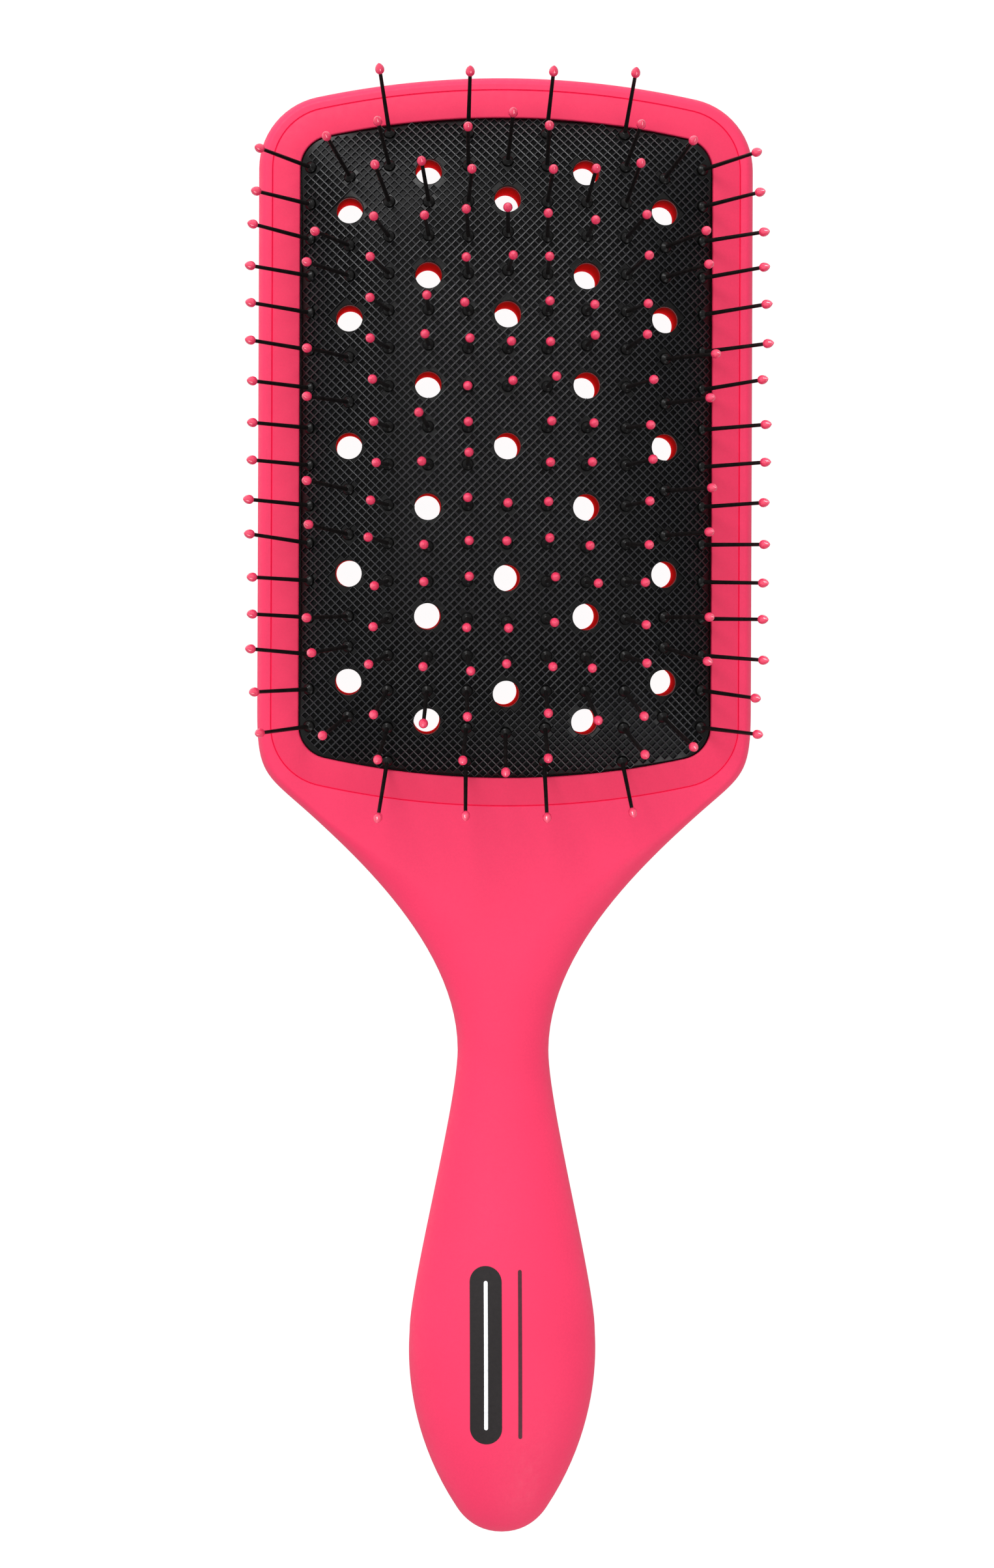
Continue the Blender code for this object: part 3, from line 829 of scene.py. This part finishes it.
def ink(name, colour):
    """Pad print: satin, with a slightly uneven film."""
    finish = Finish(name, 0.48, Specular_IOR_Level=0.22)
    finish.mottle(1500, 4, tinted(colour, 0.85), tinted(colour, 1.15), 0.7)
    finish.roughness(finish.ramp(finish.noise(1200, 3), 0.40, 0.56))
    finish.bump(finish.noise(4200, 4, 0.65), 0.15, 0.00005)
    return finish.material


# ---- stage, lights and camera ------------------------------------------------------------------

BRIGHT_SIDE = Vector((-0.44, 0.82, 0.40)).normalized()
TENT_DARK, TENT_BRIGHT = 0.41, 1.04
KEY_WATTS, NEAR_WATTS, OVER_WATTS = 6.6, 2.7, 0.7
TABLE_HALF, TABLE_Z = 8.0, -0.0004      # metres; just clear of the brush's back


def make_stage():
    """A pale, softly glowing table, as product photographs are taken on."""
    corners = [(-TABLE_HALF, -TABLE_HALF), (TABLE_HALF, -TABLE_HALF),
               (TABLE_HALF, TABLE_HALF), (-TABLE_HALF, TABLE_HALF)]
    mesh = bpy.data.meshes.new("table_top")
    mesh.from_pydata([(x, y, TABLE_Z) for x, y in corners], [], [(0, 1, 2, 3)])
    table = bpy.data.objects.new("table_top", mesh)
    bpy.context.scene.collection.objects.link(table)
    finish = Finish("pale_table", 0.6)
    finish.mottle(30, 2, grey(0.055), grey(0.065))
    finish.shader.inputs["Emission Color"].default_value = (0.98, 1.0, 1.0, 1.0)
    finish.shader.inputs["Emission Strength"].default_value = 0.96
    mesh.materials.append(finish.material)
    table.visible_glossy = False


def area_light(name, place, target, size, watts):
    light = bpy.data.lights.new(name, "AREA")
    light.shape = "SQUARE"
    light.size = size
    light.energy = watts
    made = bpy.data.objects.new(name, light)
    made.location = place
    made.rotation_euler = (Vector(target) - Vector(place)).to_track_quat("-Z", "Y").to_euler()
    bpy.context.scene.collection.objects.link(made)


def make_lights():
    """A white studio tent, brighter on the far left, with three soft boxes above."""
    world = bpy.data.worlds.new("studio")
    bpy.context.scene.world = world
    world.use_nodes = True
    tree = world.node_tree
    towards = tree.nodes.new("ShaderNodeVectorMath")
    towards.operation = "DOT_PRODUCT"
    towards.inputs[1].default_value = BRIGHT_SIDE
    strength = tree.nodes.new("ShaderNodeMapRange")
    strength.interpolation_type = "SMOOTHSTEP"
    limits = {"From Min": -0.7, "From Max": 0.8, "To Min": TENT_DARK, "To Max": TENT_BRIGHT}
    for socket, value in limits.items():
        strength.inputs[socket].default_value = value
    background = tree.nodes["Background"]
    background.inputs["Color"].default_value = (1.0, 1.0, 1.0, 1.0)
    tree.links.new(tree.nodes.new("ShaderNodeTexCoord").outputs["Generated"], towards.inputs[0])
    tree.links.new(towards.outputs["Value"], strength.inputs["Value"])
    tree.links.new(strength.outputs["Result"], background.inputs["Strength"])
    area_light("key", (-0.33, 0.76, 0.70), (0, 0, 0.01), 0.5, KEY_WATTS)
    area_light("near_end", (0.32, -0.70, 0.52), (0, 0.02, 0.01), 0.5, NEAR_WATTS)
    area_light("overhead", (-0.16, 0.22, 1.10), (0, 0.06, 0.01), 0.45, OVER_WATTS)


def make_camera():
    """Looks straight down from over the head, and turns a little to the brush's middle.

    The upright shift keeps the picture's plane level with the brush, so its sides stay parallel.
    """
    eye = Vector((-0.020, 0.040, 0.723))
    middle = Vector((-0.00143, 0.0037, 0.008))    # what the middle of the picture shows
    height_seen = 0.2882                          # of the plane through it
    roll = math.radians(0.21)
    forward = (Vector((middle.x, eye.y, middle.z)) - eye)
    data = bpy.data.cameras.new("camera")
    data.sensor_width = 36.0
    data.lens = data.sensor_width * forward.length / height_seen
    data.shift_y = (middle.y - eye.y) / height_seen
    data.clip_start, data.clip_end = 0.01, 10.0
    camera = bpy.data.objects.new("camera", data)
    right = forward.cross(Vector((0.0, 1.0, 0.0))).normalized()
    up = right.cross(forward.normalized())
    basis = Matrix((right, up, -forward.normalized())).transposed().to_4x4()
    camera.matrix_world = Matrix.Translation(eye) @ basis @ Matrix.Rotation(roll, 4, "Z")
    bpy.context.scene.collection.objects.link(camera)
    bpy.context.scene.camera = camera


def main():
    bpy.context.scene.view_settings.view_transform = "Standard"
    make_camera()
    make_lights()
    make_stage()
    rng = random.Random(SEED)
    # A deeper, nearly glossless pink on both sides of the seam is painted shade in the seam.
    seam_shade_pink = soft_touch("seam_painted_shade_pink", (0.92, 0.016, 0.080), specular=0.05)
    make_handle(soft_touch("soft_touch_pink", (0.80, 0.034, 0.112)), seam_shade_pink, red_with_painted_glow("tube_red_painted_glow"))
    # The frame's pink is darker than the body's: painted shade from the raised cushion and the pins.
    make_frame(soft_touch("frame_pink", (0.76, 0.029, 0.098)), seam_shade_pink)
    # The pit copy of the smooth rubber reflects less: painted shade in the pits.
    make_cushion(rubber("pad_rubber"), smooth_rubber("pad_smooth_rubber", 0.20),
                 smooth_rubber("pit_rubber_painted_shade", 0.06), rng)
    stem, drop = nylon("pin_nylon"), pink_drop("bead_resin")
    for column in range(-5, 6):
        make_pins(column, stem, drop, rng)
    make_print(ink("printed_black", (0.016, 0.013, 0.0135)), ink("printed_white", (0.80, 0.80, 0.82)),
               ink("printed_dark_red", (0.070, 0.018, 0.026)))


main()
